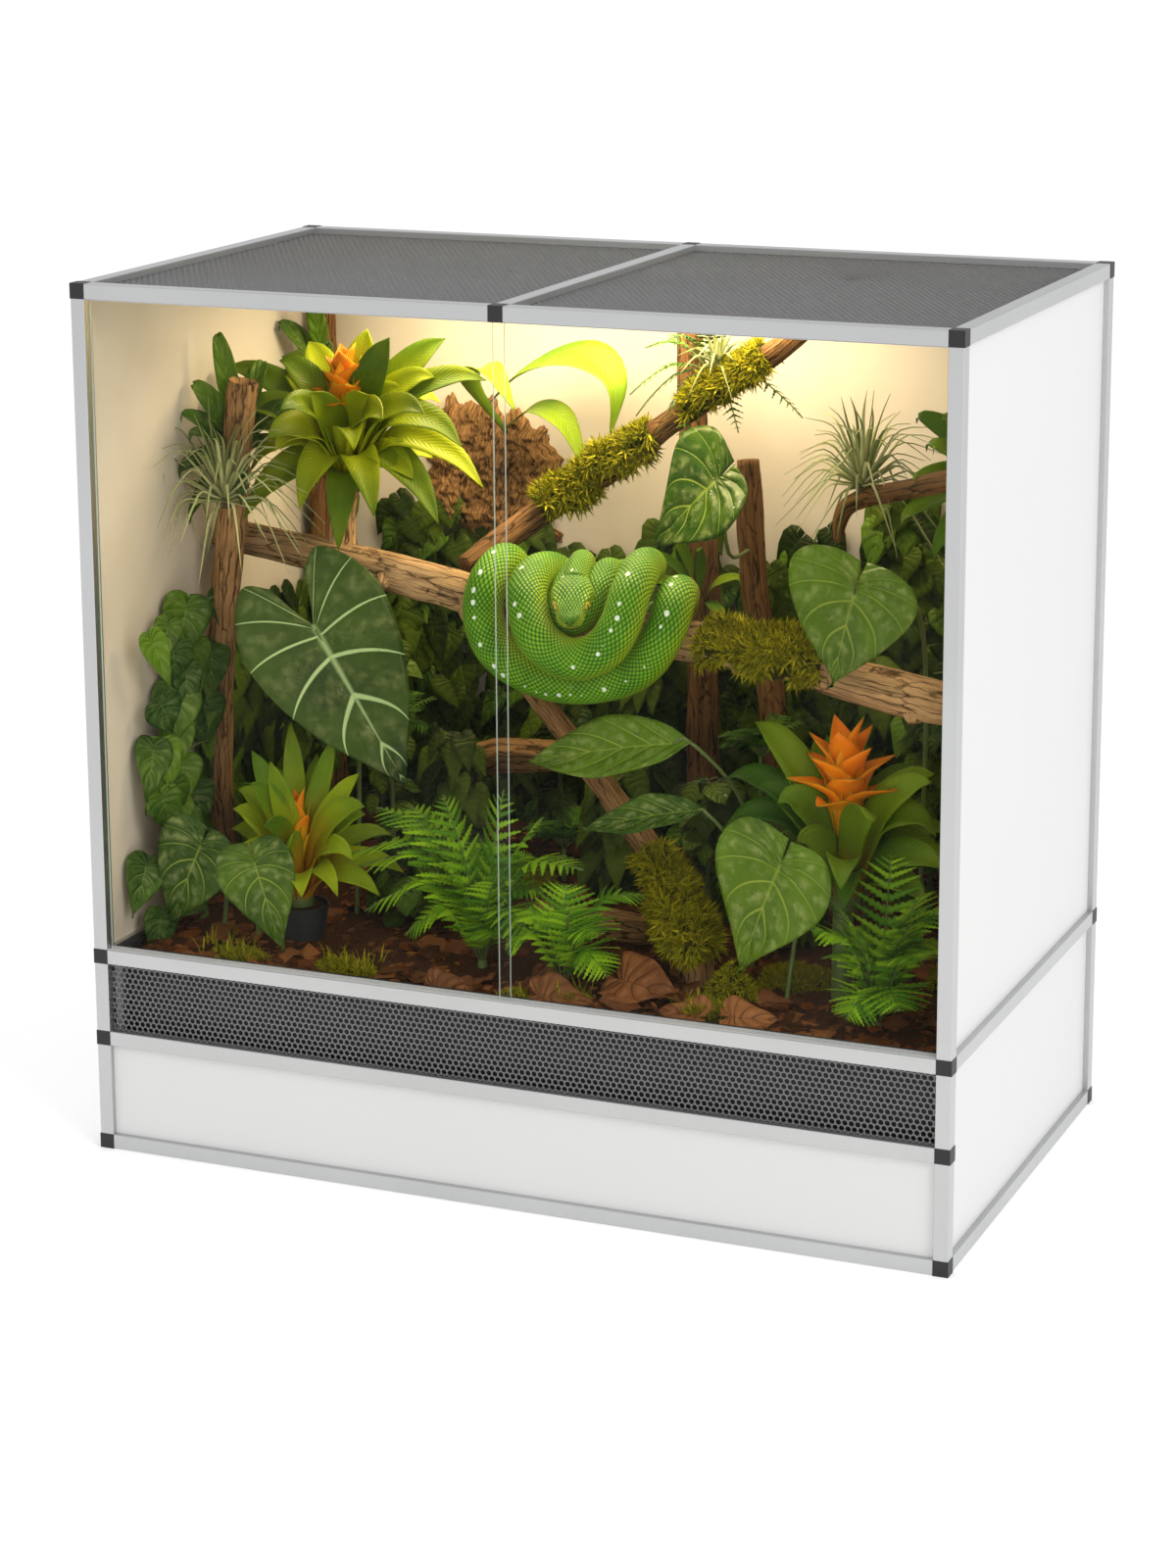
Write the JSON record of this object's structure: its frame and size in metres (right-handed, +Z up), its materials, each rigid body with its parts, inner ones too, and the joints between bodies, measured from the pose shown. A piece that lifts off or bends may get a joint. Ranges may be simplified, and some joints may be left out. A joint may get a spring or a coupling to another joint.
{
  "type": "reptile terrarium",
  "caption": "Front-opening planted reptile terrarium: slotted aluminium tube frame, white boards, perforated roof and front vent, sliding glass doors, perches, plants and a coiled tree snake.",
  "frame": {"origin": "middle of the underside of the cabinet, on the surface that it stands on", "axes": "+X to the right as seen from the doors, +Y to the back, +Z up"},
  "size_m": [1.2, 0.68, 1.18],
  "materials": {
    "frame_tube": "satin anodised",
    "black_connector": "moulded",
    "white_board": "smooth",
    "dark_mesh": "satin",
    "door_track": "smooth",
    "door_glass": "clear",
    "black_plastic": "matte",
    "soil": "rough",
    "pale_wood": "rough",
    "bark": "rough",
    "cork": "rough",
    "moss": "rough",
    "bromeliad_leaf": "glossy",
    "dark_leaf": "glossy",
    "climbing_leaf": "glossy",
    "fern_leaf": "satin",
    "air_plant_leaf": "matte",
    "snake_skin": "satin"
  },
  "bodies": {
    "cabinet": {"front_top_rails": "frame_tube", "back_top_rails": "frame_tube", "left_top_rail": "frame_tube", "right_top_rail": "frame_tube", "top_cross_rail": "frame_tube", "front_sill_rail": "frame_tube", "front_vent_rail": "frame_tube", "front_bottom_rail": "frame_tube", "back_mid_rail": "frame_tube", "back_bottom_rail": "frame_tube", "left_mid_rail": "frame_tube", "right_mid_rail": "frame_tube", "left_bottom_rail": "frame_tube", "right_bottom_rail": "frame_tube", "front_left_posts": "frame_tube", "front_right_posts": "frame_tube", "back_left_posts": "frame_tube", "back_right_posts": "frame_tube", "top_corner_connectors": "black_connector", "bottom_corner_connectors": "black_connector", "mid_connectors": "black_connector", "vent_connectors": "black_connector", "top_tee_connectors": "black_connector", "left_upper_panel": "white_board", "left_lower_panel": "white_board", "right_upper_panel": "white_board", "right_lower_panel": "white_board", "back_upper_panel": "white_board", "back_lower_panel": "white_board", "front_base_panel": "white_board", "floor_panel": "white_board", "top_mesh_left": "dark_mesh", "top_mesh_right": "dark_mesh", "front_vent_mesh": "dark_mesh", "upper_door_track": "door_track", "lower_door_track": "door_track", "soil_tub": "black_plastic", "soil": "soil", "perch_branch": "bark", "diagonal_branch": "bark", "left_trunk": "pale_wood", "corner_trunk": "bark", "right_trunks": "bark", "ground_branch": "bark", "fallen_logs": "pale_wood", "short_branch": "bark", "cork_bark": "cork", "branch_moss": "moss", "ground_cover": "moss", "upper_bromeliad": "bromeliad_leaf", "pot": "black_plastic", "left_bromeliad": "bromeliad_leaf", "right_bromeliad": "bromeliad_leaf", "broad_leaf_plants": "dark_leaf", "climbing_plants": "climbing_leaf", "ferns": "fern_leaf", "air_plants": "air_plant_leaf", "tree_snake": "snake_skin"},
    "left_door": {"left_glass_door": "door_glass"},
    "right_door": {"right_glass_door": "door_glass"}
  },
  "joints": [
    {"name": "left_door_slide", "type": "slide", "parent": "cabinet", "child": "left_door", "axis": [1, 0, 0], "range_m": [0, 0.573]},
    {"name": "right_door_slide", "type": "slide", "parent": "cabinet", "child": "right_door", "axis": [1, 0, 0], "range_m": [-0.573, 0]}
  ]
}
